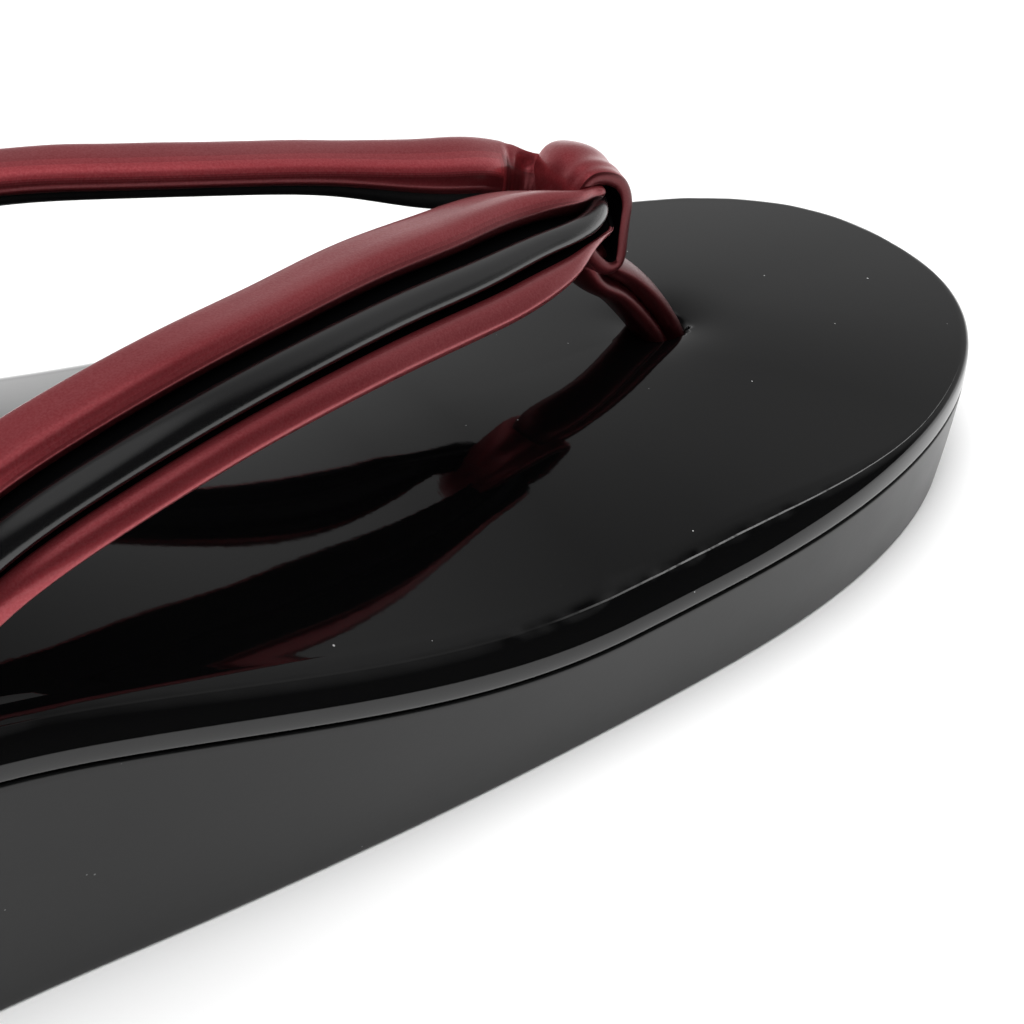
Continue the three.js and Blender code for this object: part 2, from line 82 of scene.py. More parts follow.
# The thong's ring from the side (s, z), and the middle line of its two legs
# (s, z, half width, half distance between the legs).
RING = np.array([
    (65.0, 41.8), (63.3, 46.2), (62.6, 51.0), (64.2, 55.7), (68.4, 58.7),
    (72.4, 58.9), (75.2, 55.5), (75.0, 50.0), (72.6, 45.0), (68.8, 41.2),
])
LEGS = np.array([
    (68.7, 43.6, 3.6, 0.9), (66.8, 40.6, 4.2, 1.45), (63.2, 37.6, 3.9, 1.5), (57.6, 32.0, 3.5, 1.55),
    (53.2, 26.2, 3.2, 1.5), (50.6, 21.6, 3.0, 1.5), (49.4, 16.8, 2.9, 1.5),
    (49.1, 12.2, 2.9, 1.5),
])
BAND, BAND_LIP, BAND_HALF, BAND_BULGE, LEG_HALF_THICK = 2.0, 1.9, 5.7, 1.1, 1.75


def X(s):
    return LENGTH / 2 - s


def smooth(t):
    t = np.clip(t, 0.0, 1.0)
    return t * t * (3 - 2 * t)


def bell(x, width):
    return np.exp(-((x / width) ** 2))


# ---- helpers ---------------------------------------------------------------
def spline(knots, values, at):
    """Natural cubic spline through values (rows) at knots, read at `at`."""
    knots, values, at = (np.asarray(v, float) for v in (knots, values, at))
    flat = values.ndim == 1
    if flat:
        values = values[:, None]
    n, h = len(knots), np.diff(knots)
    a = np.zeros((n, n))
    b = np.zeros_like(values)
    a[0, 0] = a[-1, -1] = 1.0
    for i in range(1, n - 1):
        a[i, i - 1], a[i, i], a[i, i + 1] = h[i - 1], 2 * (h[i - 1] + h[i]), h[i]
        b[i] = 6 * ((values[i + 1] - values[i]) / h[i] - (values[i] - values[i - 1]) / h[i - 1])
    m = np.linalg.solve(a, b)
    k = np.clip(np.searchsorted(knots, at, "right") - 1, 0, n - 2)
    t0, t1, hk = (at - knots[k])[:, None], (knots[k + 1] - at)[:, None], h[k][:, None]
    out = (m[k] * t1**3 + m[k + 1] * t0**3) / (6 * hk) \
        + (values[k] / hk - m[k] * hk / 6) * t1 + (values[k + 1] / hk - m[k + 1] * hk / 6) * t0
    return out[:, 0] if flat else out


def looped(points, count):
    """A closed smooth line through points, in `count` steps of equal length."""
    n = len(points)
    tripled = np.vstack([points, points, points, points[:1]])
    run = np.concatenate([[0], np.cumsum(np.linalg.norm(np.diff(tripled, axis=0), axis=1) ** 0.7)])
    fine = spline(run, tripled, np.linspace(run[n], run[2 * n], 2001))
    along = np.concatenate([[0], np.cumsum(np.linalg.norm(np.diff(fine, axis=0), axis=1))])
    want = np.linspace(0, along[-1], count, endpoint=False)
    return np.stack([np.interp(want, along, fine[:, c]) for c in range(fine.shape[1])], 1)


def ripple(x, seed, waves):
    """A fixed wavy line: the sum of a few sines (wavelength, height)."""
    rng = np.random.default_rng(seed)
    total = np.zeros_like(np.asarray(x, float))
    for length, height in waves:
        for _ in range(3):
            total += height / 1.7 * np.sin(2 * math.pi * x / (length * rng.uniform(0.75, 1.3)) + rng.uniform(0, 6.28))
    return total


def lattice(rings, wrap_rows=False, caps=True):
    """Points and faces of closed rings joined one after the other."""
    rows, cols = rings.shape[:2]
    points = rings.reshape(-1, 3)
    r = np.arange(rows if wrap_rows else rows - 1)
    i, j = np.meshgrid(r, np.arange(cols), indexing="ij")
    i1, j1 = (i + 1) % rows, (j + 1) % cols
    quads = np.stack([i * cols + j, i * cols + j1, i1 * cols + j1, i1 * cols + j], -1).reshape(-1, 4)
    faces = [quads]
    if caps and not wrap_rows:
        n = len(points)
        points = np.vstack([points, rings[0].mean(0), rings[-1].mean(0)])
        k = np.arange(cols)
        k1 = (k + 1) % cols
        first = np.stack([np.full(cols, n), k1, k], 1)
        last = np.stack([np.full(cols, n + 1), (rows - 1) * cols + k, (rows - 1) * cols + k1], 1)
        faces.append(np.vstack([first, last]))
    return points, faces


def make(name, points, faces, materials, zones=None, weld=0.0):
    """A smooth mesh object in metres. faces is a list of arrays of quads or
    triangles; zones gives each face's material."""
    points = np.asarray(points, float)
    if weld:
        key = np.round(points / weld).astype(np.int64)
        _, keep, back = np.unique(key, axis=0, return_index=True, return_inverse=True)
        back = back.reshape(-1)
        points = points[keep]
        faces = [back[f] for f in faces]
    total, start, index, zone = [], [], [], []
    at = 0
    for part in faces:
        for f in part:
            ring = [int(v) for q, v in enumerate(f) if v != f[q - 1]]
            if len(set(ring)) < 3 or len(set(ring)) != len(ring):
                at += 1
                continue
            total.append(len(ring))
            start.append(len(index))
            index.extend(ring)
            zone.append(0 if zones is None else int(zones[at]))
            at += 1
    tri = np.array([(index[b], index[b + q], index[b + q + 1]) for b, t in zip(start, total) for q in range(1, t - 1)])
    a, b, c = (points[tri[:, q]] for q in range(3))
    if (a * np.cross(b, c)).sum() < 0:
        for b0, t in zip(start, total):
            index[b0:b0 + t] = index[b0:b0 + t][::-1]
    mesh = bpy.data.meshes.new(name)
    mesh.vertices.add(len(points))
    mesh.vertices.foreach_set("co", (points * 0.001).astype(np.float32).ravel())
    mesh.loops.add(len(index))
    mesh.loops.foreach_set("vertex_index", np.array(index, np.int32))
    mesh.polygons.add(len(total))
    mesh.polygons.foreach_set("loop_start", np.array(start, np.int32))
    mesh.polygons.foreach_set("loop_total", np.array(total, np.int32))
    for m in materials:
        mesh.materials.append(m)
    mesh.polygons.foreach_set("material_index", np.array(zone, np.int32))
    mesh.polygons.foreach_set("use_smooth", np.ones(len(total), bool))
    mesh.update(calc_edges=True)
    mesh.validate()
    obj = bpy.data.objects.new(name, mesh)
    bpy.context.scene.collection.objects.link(obj)
    return obj


# ---- materials -------------------------------------------------------------
def material(name):
    m = bpy.data.materials.new(name)
    m.use_nodes = True
    tree = m.node_tree
    return m, tree, tree.nodes["Principled BSDF"]


def node(tree, kind, **inputs):
    n = tree.nodes.new(kind)
    for key, value in inputs.items():
        if hasattr(n, key):
            setattr(n, key, value)
    return n


def noise(tree, coords, scale, detail=2.0, rough=0.5):
    n = tree.nodes.new("ShaderNodeTexNoise")
    n.inputs["Scale"].default_value = scale
    n.inputs["Detail"].default_value = detail
    n.inputs["Roughness"].default_value = rough
    tree.links.new(coords, n.inputs["Vector"])
    return n.outputs["Fac"]


def ramp(tree, value, low, high, a, b):
    n = tree.nodes.new("ShaderNodeMapRange")
    n.inputs["From Min"].default_value = low
    n.inputs["From Max"].default_value = high
    n.inputs["To Min"].default_value = a
    n.inputs["To Max"].default_value = b
    tree.links.new(value, n.inputs["Value"])
    return n.outputs["Result"]


def math_node(tree, operation, a, b):
    n = tree.nodes.new("ShaderNodeMath")
    n.operation = operation
    for socket, value in zip(n.inputs, (a, b)):
        if isinstance(value, (int, float)):
            socket.default_value = value
        else:
            tree.links.new(value, socket)
    return n.outputs[0]


def mix_colour(tree, factor, a, b):
    n = tree.nodes.new("ShaderNodeMix")
    n.data_type = "RGBA"
    tree.links.new(factor, n.inputs[0])
    for socket, value in ((n.inputs[6], a), (n.inputs[7], b)):
        if isinstance(value, tuple):
            socket.default_value = (*value, 1.0)
        else:
            tree.links.new(value, socket)
    return n.outputs[2]


def bump(tree, bsdf, heights):
    """Adds bumps (height socket, depth in metres) one over the other."""
    normal = None
    for height, depth in heights:
        n = tree.nodes.new("ShaderNodeBump")
        n.inputs["Strength"].default_value = 1.0
        n.inputs["Distance"].default_value = depth
        tree.links.new(height, n.inputs["Height"])
        if normal is not None:
            tree.links.new(normal, n.inputs["Normal"])
        normal = n.outputs["Normal"]
    tree.links.new(normal, bsdf.inputs["Normal"])


def object_coords(tree):
    return tree.nodes.new("ShaderNodeTexCoord").outputs["Object"]


def specks(tree, coords, scale, share, size):
    """1 on small dust specks: one in a share of the cells of a lattice."""
    v = tree.nodes.new("ShaderNodeTexVoronoi")
    v.inputs["Scale"].default_value = scale
    tree.links.new(coords, v.inputs["Vector"])
    near = ramp(tree, v.outputs["Distance"], size * 0.6, size, 1.0, 0.0)
    pick = tree.nodes.new("ShaderNodeSeparateColor")
    tree.links.new(v.outputs["Color"], pick.inputs[0])
    chosen = math_node(tree, "LESS_THAN", pick.outputs[0], share)
    return math_node(tree, "MULTIPLY", near, chosen)


def patent(name, rough_low, rough_high, peel, dusty, shine=0.5):
    m, tree, bsdf = material(name)
    p = object_coords(tree)
    dust = math_node(tree, "MAXIMUM", specks(tree, p, 150.0, 0.36, 0.028), specks(tree, p, 420.0, 0.10, 0.05))
    dust = math_node(tree, "MULTIPLY", dust, dusty)
    tree.links.new(mix_colour(tree, dust, (0.0012, 0.0012, 0.0013), (0.45, 0.45, 0.45)), bsdf.inputs["Base Color"])
    haze = ramp(tree, noise(tree, p, 60.0, 4.0), 0.3, 0.7, rough_low, rough_high)
    rough = math_node(tree, "ADD", haze, math_node(tree, "MULTIPLY", dust, 0.5))
    tree.links.new(rough, bsdf.inputs["Roughness"])
    bsdf.inputs["IOR"].default_value = 1.5
    bsdf.inputs["Specular IOR Level"].default_value = shine
    bump(tree, bsdf, [(noise(tree, p, 900.0, 3.0), peel), (noise(tree, p, 130.0, 2.0), peel * 1.5)])
    return m


def crease_painted_reflection():
    """The thin crease where the top turns over, with a painted reflection: a pale, broken line along its right side in
    front of the straps."""
    m, tree, bsdf = material("patent_crease")
    p = object_coords(tree)
    place = tree.nodes.new("ShaderNodeSeparateXYZ")
    tree.links.new(p, place.inputs[0])
    front = ramp(tree, place.outputs["X"], 0.016, 0.040, 0.0, 1.0)
    back = ramp(tree, place.outputs["X"], 0.088, 0.104, 1.0, 0.0)
    beside = ramp(tree, place.outputs["Y"], -0.012, -0.006, 1.0, 0.0)
    # painted reflection: a pale grey broken line on the crease's right side in front of the straps
    reflection_band = math_node(tree, "MULTIPLY", math_node(tree, "MULTIPLY", front, back), beside)
    broken = ramp(tree, noise(tree, p, 520.0, 3.0, 0.7), 0.26, 0.50, 0.0, 1.0)
    pale = math_node(tree, "MULTIPLY", reflection_band, broken)
    tree.links.new(mix_colour(tree, pale, (0.0014, 0.0014, 0.0014), (0.14, 0.14, 0.14)), bsdf.inputs["Base Color"])
    tree.links.new(ramp(tree, pale, 0.0, 1.0, 0.06, 0.40), bsdf.inputs["Roughness"])
    return m


def leather_burgundy(name="burgundy_pearl", shade=1.0, coat=0.45):
    m, tree, bsdf = material(name)
    p = object_coords(tree)
    grain = noise(tree, p, 3600.0, 2.0, 0.6)
    cloud = noise(tree, p, 90.0, 3.0)
    sparkle = ramp(tree, grain, 0.35, 0.70, 0.0, 1.0)
    # shade scales the leather's colour: copies with shade below 1 are painted shade, copies above 1 painted highlight
    dim = lambda *c: tuple(shade * v for v in c)
    tone = mix_colour(tree, ramp(tree, cloud, 0.3, 0.7, 0.0, 1.0), dim(0.325, 0.038, 0.048), dim(0.365, 0.046, 0.057))
    tree.links.new(mix_colour(tree, math_node(tree, "MULTIPLY", sparkle, 0.30), tone, dim(0.52, 0.135, 0.145)), bsdf.inputs["Base Color"])
    tree.links.new(ramp(tree, grain, 0.3, 0.7, 0.44, 0.36), bsdf.inputs["Roughness"])
    bsdf.inputs["Metallic"].default_value = 0.86
    bsdf.inputs["Specular IOR Level"].default_value = 0.2
    bsdf.inputs["IOR"].default_value = 1.5
    bsdf.inputs["Coat Weight"].default_value = coat
    bsdf.inputs["Coat Roughness"].default_value = 0.16
    bump(tree, bsdf, [(noise(tree, p, 1500.0, 3.0), 0.00002), (grain, 0.000008)])
    return m


def leather_black(name, low, high, depth, shine):
    m, tree, bsdf = material(name)
    p = object_coords(tree)
    grain = noise(tree, p, 2600.0, 3.0, 0.6)
    dust = specks(tree, p, 500.0, 0.02, 0.04)
    tree.links.new(mix_colour(tree, dust, (0.0018, 0.0018, 0.002), (0.25, 0.2, 0.2)), bsdf.inputs["Base Color"])
    tree.links.new(ramp(tree, grain, 0.3, 0.7, low, high), bsdf.inputs["Roughness"])
    bsdf.inputs["Specular IOR Level"].default_value = shine
    bump(tree, bsdf, [(grain, depth)])
    return m


def sole_rubber():
    m, tree, bsdf = material("sole_underside")
    p = object_coords(tree)
    pebble = noise(tree, p, 1100.0, 4.0, 0.6)
    tree.links.new(mix_colour(tree, pebble, (0.010, 0.010, 0.010), (0.022, 0.021, 0.020)), bsdf.inputs["Base Color"])
    tree.links.new(ramp(tree, pebble, 0.3, 0.7, 0.6, 0.8), bsdf.inputs["Roughness"])
    bump(tree, bsdf, [(pebble, 0.00012)])
    return m


TOP = patent("patent_top", 0.035, 0.055, 0.0000035, 1.0)
TOP_CREASE = crease_painted_reflection()
WALL = patent("patent_wall", 0.29, 0.35, 0.000006, 0.4, 0.345)
BURGUNDY = leather_burgundy()
# Darker and lighter copies of the same leather: painted shade (shade below 1) and painted highlight (shade above 1).
BURGUNDY_SHADE_DEEP = leather_burgundy("burgundy_shade_deep", 0.34, 0.25)
BURGUNDY_LEG_SHADE = leather_burgundy("burgundy_leg_shade", 0.32, 0.20)
BURGUNDY_SHADE_LIGHT = leather_burgundy("burgundy_shade_light", 0.83)
BURGUNDY_SHADE_MID = leather_burgundy("burgundy_shade_mid", 0.60, 0.35)
BURGUNDY_PAINTED_HIGHLIGHT = leather_burgundy("burgundy_painted_highlight", 1.22)
BURGUNDY_STRONG_HIGHLIGHT = leather_burgundy("burgundy_strong_highlight", 1.5)
ROLL_BLACK = leather_black("roll_black", 0.17, 0.22, 0.000006, 0.75)
LINING = leather_black("lining_black", 0.50, 0.65, 0.00003, 0.10)
GROOVE = leather_black("groove_black", 0.60, 0.75, 0.00002, 0.0)
UNDERSIDE = sole_rubber()


# ---- sole ------------------------------------------------------------------
def half_width(s):
    s = np.asarray(s, float)
    half = np.full_like(s, WIDTH / 2)
    steep = np.clip(np.minimum(s, TAPER_PEAK) - TOE_LENGTH, 0, None)
    half -= TAPER_RATE / 2 * steep**2
    span = TAPER_END - TAPER_PEAK
    past = np.clip(s - TAPER_PEAK, 0, span)
    half -= TAPER_RATE * (TAPER_PEAK - TOE_LENGTH) * (past - past**2 / (2 * span))
    toe = np.clip(1 - s / TOE_LENGTH, 0, 1)
    heel = np.clip((s - (LENGTH - HEEL_LENGTH)) / HEEL_LENGTH, 0, 1)
    return half * (1 - toe**TOE_POWER) ** (1 / TOE_POWER) * (1 - heel**HEEL_POWER) ** (1 / HEEL_POWER)


def seam_height(s):
    return SEAM_TOE + (SEAM_HEEL - SEAM_TOE) * smooth((s - WEDGE_START) / (WEDGE_END - WEDGE_START))


def sole_outline(steps):
    """The outline from the toe tip along the left side to the heel and back
    along the right side, with closer steps beside the strap holes."""
    s = LENGTH / 2 * (1 - np.cos(np.linspace(0, math.pi, 6001)))
    y = half_width(s)
    seg = np.hypot(np.diff(s), np.diff(y))
    density = 1.0 + 1.3 * bell((s[1:] + s[:-1]) / 2 - 190, 16)
    run = np.concatenate([[0], np.cumsum(seg * density)])
    want = np.linspace(0, run[-1], steps + 1)
    left = np.stack([np.interp(want, run, s), np.interp(want, run, y)], 1)
    right = left[1:-1][::-1] * [1, -1]
    return np.vstack([left, right])


OUTLINE = sole_outline(330)
_turn = np.roll(OUTLINE, -1, 0) - np.roll(OUTLINE, 1, 0)
INWARD = np.stack([-_turn[:, 1], _turn[:, 0]], 1)
INWARD /= np.linalg.norm(INWARD, axis=1)[:, None]
INWARD *= np.where((INWARD * (np.array([120.0, 0.0]) - OUTLINE)).sum(1) < 0, -1, 1)[:, None]
EDGE_RUN = np.concatenate([[0], np.cumsum(np.linalg.norm(np.diff(OUTLINE, axis=0), axis=1))])


def soft_clamp(s):
    """s held between the ends of the crown's ridge, with soft corners."""
    w = SPINE_SOFT
    low = SPINE_FRONT + w * np.logaddexp(0, (s - SPINE_FRONT) / w)
    return SPINE_REAR - w * np.logaddexp(0, (SPINE_REAR - low) / w)


RIDGE = np.stack([soft_clamp(OUTLINE[:, 0]), np.zeros(len(OUTLINE))], 1)


def sole_ring(inset, part, height):
    inset = np.broadcast_to(inset, len(OUTLINE))[:, None]
    q = OUTLINE + INWARD * inset
    q = q + (RIDGE - q) * part
    return np.stack([X(q[:, 0]), q[:, 1], height(q[:, 0], q[:, 1])], 1)


# The rolled edge from the seam up: how far its face looks up, in degrees,
# along its length. It rolls over broadly along the sides and tightly at the toe.
SIDE_RUN = [0.0, 0.15, 0.35, 0.85, 1.6, 2.3, 2.85, 3.7, 4.6, 5.5, 6.2, 6.35, 6.5, 6.65, 6.8, 7.5, 8.2, 9.1]
SIDE_LOOK = [-68.0, -50.0, -15.0, 0.0, 10.0, 20.0, 28.0, 40.0, 48.0, 54.0, 57.0, 55.0, 66.0, 61.0, 60.5, 64.5, 69.0, 74.0]
TOE_RUN = [0.0, 0.15, 0.35, 0.9, 2.2, 3.2, 3.7, 4.2, 4.7, 5.4]
TOE_LOOK = [-68.0, -50.0, -15.0, 0.0, 4.0, 9.0, 26.0, 50.0, 72.0, 83.0]
CREASE = 6.5
RIM_AT = np.concatenate([np.linspace(0, 6.0, 42), np.linspace(6.0, 7.0, 21)[1:], np.linspace(7.0, SIDE_RUN[-1], 17)[1:]])


def rim_profile(run, look, at):
    """Inset and rise of the rolled edge at distances along it."""
    fine = np.linspace(0, run[-1], 1981)
    kernel = bell(np.arange(-40, 41), 18.0)
    angle = np.convolve(np.pad(np.radians(np.interp(fine, run, look)), 40, mode="edge"), kernel / kernel.sum(), "valid")
    step = fine[1] - fine[0]
    inset, rise = np.cumsum(step * np.sin(angle)), np.cumsum(step * np.cos(angle))
    return np.interp(at, fine, inset - inset.min()), np.interp(at, fine, rise)


TOE_SHARE = 1 - smooth((OUTLINE[:, 0] - 30.0) / 45.0)
_side = rim_profile(SIDE_RUN, SIDE_LOOK, RIM_AT)
_toe = rim_profile(TOE_RUN, TOE_LOOK, np.interp(RIM_AT, [0.0, 0.85, 2.85, 6.5, 9.1], [0.0, 0.9, 3.4, 4.7, 5.4]))
RIM_INSET, RIM_RISE = (a[:, None] + (b - a)[:, None] * TOE_SHARE for a, b in zip(_side, _toe))
EDGE_INSET, EDGE_RISE = RIM_INSET[-1], RIM_RISE[-1]
RIDGE_RISE = EDGE_RISE.max() + CROWN - TOE_DROP * (1 - smooth((RIDGE[:, 0] - 58.0) / 50.0))


def hole_dip(s, y):
    """How far the top is pulled down around the three holes."""
    deep = np.zeros_like(s)
    for cs, cy, ls, ly, soft, pull in ((51.4, 0.0, 3.9, 3.3, 5.0, 1.3), (189.6, 25.4, 6.6, 3.6, 5.0, 1.3), (189.6, -25.4, 6.6, 3.6, 5.0, 1.3)):
        r = ((np.abs(s - cs) / ls) ** 2.4 + (np.abs(y - cy) / ly) ** 2.4) ** (1 / 2.4)
        edge = (r - 1) * min(ls, ly)
        deep += pull * np.exp(-np.clip(edge, 0, None) / soft * 1.6) * (1 - smooth((edge - 9.0) / 12.0))
        deep += 6.5 * (1 - smooth((r - 0.80) / 0.22))
    return deep


def crown_rise(part):
    """The share of its rise the top has reached from its edge (0) to its ridge (1)."""
    away, soft = (1 - part) ** 2, CROWN_SOFT**2
    half = (CROWN_POWER - 0.25 * TOE_SHARE) / 2
    return 1 - ((away + soft) ** half - soft**half) / ((1 + soft) ** half - soft**half)


def top_board():
    above = lambda up: lambda s, y: seam_height(s) + SEAM_GAP / 2 + up
    rings = [sole_ring(RIM_INSET[0], 0.9, above(0)), sole_ring(RIM_INSET[0], 0.3, above(0))]
    # the crease where the top turns over is not quite even
    jag = ripple(EDGE_RUN, 4, ((3.2, 0.05), (7.0, 0.08), (19.0, 0.10))) * (1 - 0.75 * TOE_SHARE)
    jag *= 1 - 0.9 * smooth((OUTLINE[:, 0] - 104.0) / 14.0)
    for i, r, at in zip(RIM_INSET, RIM_RISE, RIM_AT):
        shift = jag * bell(at - CREASE, 0.75)
        rings.append(sole_ring(i + shift * 0.55, 0, above(r - shift * 0.45)))
    parts = 1 - (1 - np.linspace(0, 1, 62)[1:]) ** 1.25
    for part in parts:
        def height(s, y, part=part):
            up = EDGE_RISE + (RIDGE_RISE - EDGE_RISE) * crown_rise(part)
            return seam_height(s) + SEAM_GAP / 2 + up - hole_dip(s, y)
        rings.append(sole_ring(EDGE_INSET, part, height))
    points, faces = lattice(np.array(rings), caps=False)
    zones = np.zeros((len(rings), len(OUTLINE)), int)
    # the narrow band at the crease takes the material with the painted reflection
    zones[2:2 + len(RIM_AT)][(RIM_AT > CREASE - 0.14) & (RIM_AT < CREASE + 0.14)] = 1
    return make("top_board_patent", points, faces, [TOP, TOP_CREASE], zones[:-1].ravel(), weld=0.004)


def sole_body():
    top = lambda drop: lambda s, y: seam_height(s) - SEAM_GAP / 2 - drop
    flat = lambda z: lambda s, y: np.full_like(s, z)
    rings = [sole_ring(BASE_INSET + FLOOR_EDGE, p, flat(0.0)) for p in (1.0, 0.85, 0.6, 0.3, 0.08)]
    bottom_rows = len(rings)
    for a in np.radians(np.linspace(90, 0, 7)):
        rings.append(sole_ring(BASE_INSET + FLOOR_EDGE * (1 - math.cos(a)), 0, flat(FLOOR_EDGE * (1 - math.sin(a)))))
    lean_top = 0.05
    for t in np.linspace(0, 1, 40)[1:]:
        def wall(s, y, t=t):
            return FLOOR_EDGE + (seam_height(s) - SEAM_GAP / 2 - 0.4 - FLOOR_EDGE) * t
        rings.append(sole_ring(BASE_INSET + (lean_top - BASE_INSET) * t - 0.12 * math.sin(math.pi * t), 0, wall))
    for a in np.radians(np.linspace(0, 90, 9))[1:]:
        rings.append(sole_ring(lean_top + 0.4 * (1 - math.cos(a)), 0, top(0.4 * (1 - math.sin(a)))))
    rings += [sole_ring(lean_top + 0.4, p, top(0)) for p in (0.3, 0.9)]
    points, faces = lattice(np.array(rings), caps=False)
    cols = len(OUTLINE)
    zones = np.zeros(len(faces[0]), int)
    zones[: (bottom_rows) * cols] = 1
    return make("sole_body_patent", points, faces, [WALL, UNDERSIDE], zones, weld=0.004)


# ---- straps ----------------------------------------------------------------
class Strap:
    """One strap's middle line, directions and scales along its length."""

    def __init__(self):
        rows = len(STRAP)
        pos = np.stack([X(STRAP[:, 0]), STRAP[:, 1], STRAP[:, 2]], 1)
        mirror = lambda v, flip: np.concatenate([flip * v[:0:-1], v])
        full = np.vstack([pos[:0:-1] * [1, -1, 1], pos])
        run = np.concatenate([[0], np.cumsum(np.linalg.norm(np.diff(full, axis=0), axis=1))])
        run -= run[rows - 1]
        fine = np.linspace(0, run[-1], 3001)
        line = spline(run, full, fine)
        length = np.concatenate([[0], np.cumsum(np.linalg.norm(np.diff(line, axis=0), axis=1))])
        self.length = length[-1]
        self.fine, self.arc = fine, length
        self.run, self.full = run, full
        self.turn = mirror(STRAP[:, 3], -1)
        self.rest = np.vstack([STRAP[:0:-1, 4:], STRAP[:, 4:]])
        self.knots = run[rows - 1:]

    def place(self, arc):
        at = np.interp(arc, self.arc, self.fine)
        mid = spline(self.run, self.full, at)
        along = spline(self.run, self.full, np.minimum(at + 0.05, self.run[-1])) - spline(self.run, self.full, at - 0.05)
        along /= np.linalg.norm(along, axis=1)[:, None]
        turn = np.radians(spline(self.run, self.turn, at))
        face = np.stack([np.cos(turn), np.sin(turn), np.zeros_like(turn)], 1)
        face -= along * (face * along).sum(1)[:, None]
        face /= np.linalg.norm(face, axis=1)[:, None]
        up = np.cross(face, along)
        rest = spline(self.run, self.rest, at)
        roll = np.radians(rest[:, 0])[:, None]
        across = np.cos(roll) * face - np.sin(roll) * up
        out = np.sin(roll) * face + np.cos(roll) * up
        return mid, along, across, out, rest[:, 1], rest[:, 2]

    def arc_of_row(self, row):
        at = np.interp(row, np.arange(len(self.knots)), self.knots)
        return float(np.interp(at, self.fine, self.arc))


LINE = Strap()

# The strap's section at full size, u across to the lower edge and n out of
# the face, in four runs.
UPPER_PAD = [(-9.2, -2.62), (-9.75, -2.52), (-10.05, -2.2), (-10.15, -1.6), (-10.0, -1.0), (-9.6, -0.5), (-8.9, 0.12), (-8.0, 0.85),
             (-7.2, 1.5), (-6.4, 2.04), (-5.7, 2.36), (-4.95, 2.33), (-4.3, 2.07), (-3.86, 1.83), (-3.7, 1.7), (-3.62, 1.5),
             (-3.45, 0.9), (-3.35, 0.35), (-3.45, 0.0)]
CHANNEL = [(-3.45, 0.0), (-3.5, -0.3), (-3.2, -0.6), (-1.8, -0.72), (0.0, -0.72), (1.9, -0.72), (2.9, -0.5), (3.3, 0.0)]
LOWER_PAD = [(3.3, 0.0), (3.15, 0.35), (3.25, 0.75), (3.6, 1.2), (4.1, 1.6), (4.7, 1.86), (5.3, 1.86), (5.9, 1.7), (6.45, 1.45),
             (6.72, 1.28), (6.84, 1.1), (6.9, 0.6), (6.85, -0.1), (6.6, -0.8), (6.15, -1.6), (5.6, -2.3), (5.0, -2.62)]
LINED = [(5.0, -2.62), (4.75, -2.34), (3.0, -2.32), (0.2, -2.30), (-0.35, -2.36), (-0.7, -2.12), (-1.05, -2.36), (-1.6, -2.30),
         (-4.5, -2.32), (-7.9, -2.32), (-8.9, -2.36), (-9.2, -2.62)]

# The lower pad's tip: distance along the strap, share of its section, and the
# place across the strap that it narrows to.
LOW_TIP = np.array([(0.0, 0.07, 1.0), (7.0, 0.07, 1.9), (9.5, 0.09, 2.6), (11.0, 0.14, 2.35), (14.0, 0.25, 1.9), (19.0, 0.45, 1.95),
                    (24.0, 0.69, 2.9), (30.0, 0.88, 3.1), (40.0, 1.0, 3.2), (50.0, 1.0, 3.2)])

# On the left strap the inner edge is fuller and the lining hangs lower.
LEFT_PAD = [(-9.0, -3.2), (-9.6, -3.15), (-10.05, -2.8), (-10.3, -2.15), (-10.3, -1.5), (-10.18, -0.95), (-9.85, -0.42), (-9.2, 0.2),
            (-8.3, 0.9), (-7.2, 1.62), *UPPER_PAD[10:]]
LEFT_LINED = [(5.0, -2.62), (4.75, -2.34), (3.0, -2.32), (0.2, -2.30), (-0.35, -2.4), (-0.7, -2.3), (-1.05, -2.6), (-1.6, -2.8),
              (-4.5, -3.8), (-7.2, -4.2), (-8.4, -3.9), (-9.0, -3.2)]


def section(upper=UPPER_PAD, lining=LINED):
    """The section's points, and the zone of the face after each point."""
    points, zones = [], []
    for rows, count, zone in ((upper, 44, 0), (CHANNEL, 14, 1), (LOWER_PAD, 34, 0), (lining, 26, 2)):
        rows = np.array(rows)
        run = np.concatenate([[0], np.cumsum(np.linalg.norm(np.diff(rows, axis=0), axis=1) ** 0.6)])
        want = np.linspace(0, run[-1], count, endpoint=False)
        points.append(spline(run, rows, want))
        zones += [zone] * count
    return np.vstack(points), np.array(zones)


LEFT_SHAPE = section(LEFT_PAD, LEFT_LINED)[0]


def placed(side, arcs):
    """One strap's middle line, directions and scales at distances along it. The
    left strap lies a little flatter behind and is twisted a little more towards
    the ring."""
    mid, along, across, out, wide, thick = LINE.place(arcs)
    if side > 0:
        front, behind = bell(arcs - 12.0, 22.0)[:, None], bell(arcs - 75.0, 30.0)[:, None]
        twist = np.radians(13.0 * front - 3.0 * behind)
        across, out = np.cos(twist) * across - np.sin(twist) * out, np.sin(twist) * across + np.cos(twist) * out
        mid = mid + np.array([0.0, 0.0, 1.0]) * (0.5 * behind - 1.0 * front * smooth(arcs / 8.0)[:, None])
    return mid, across, out, wide, thick


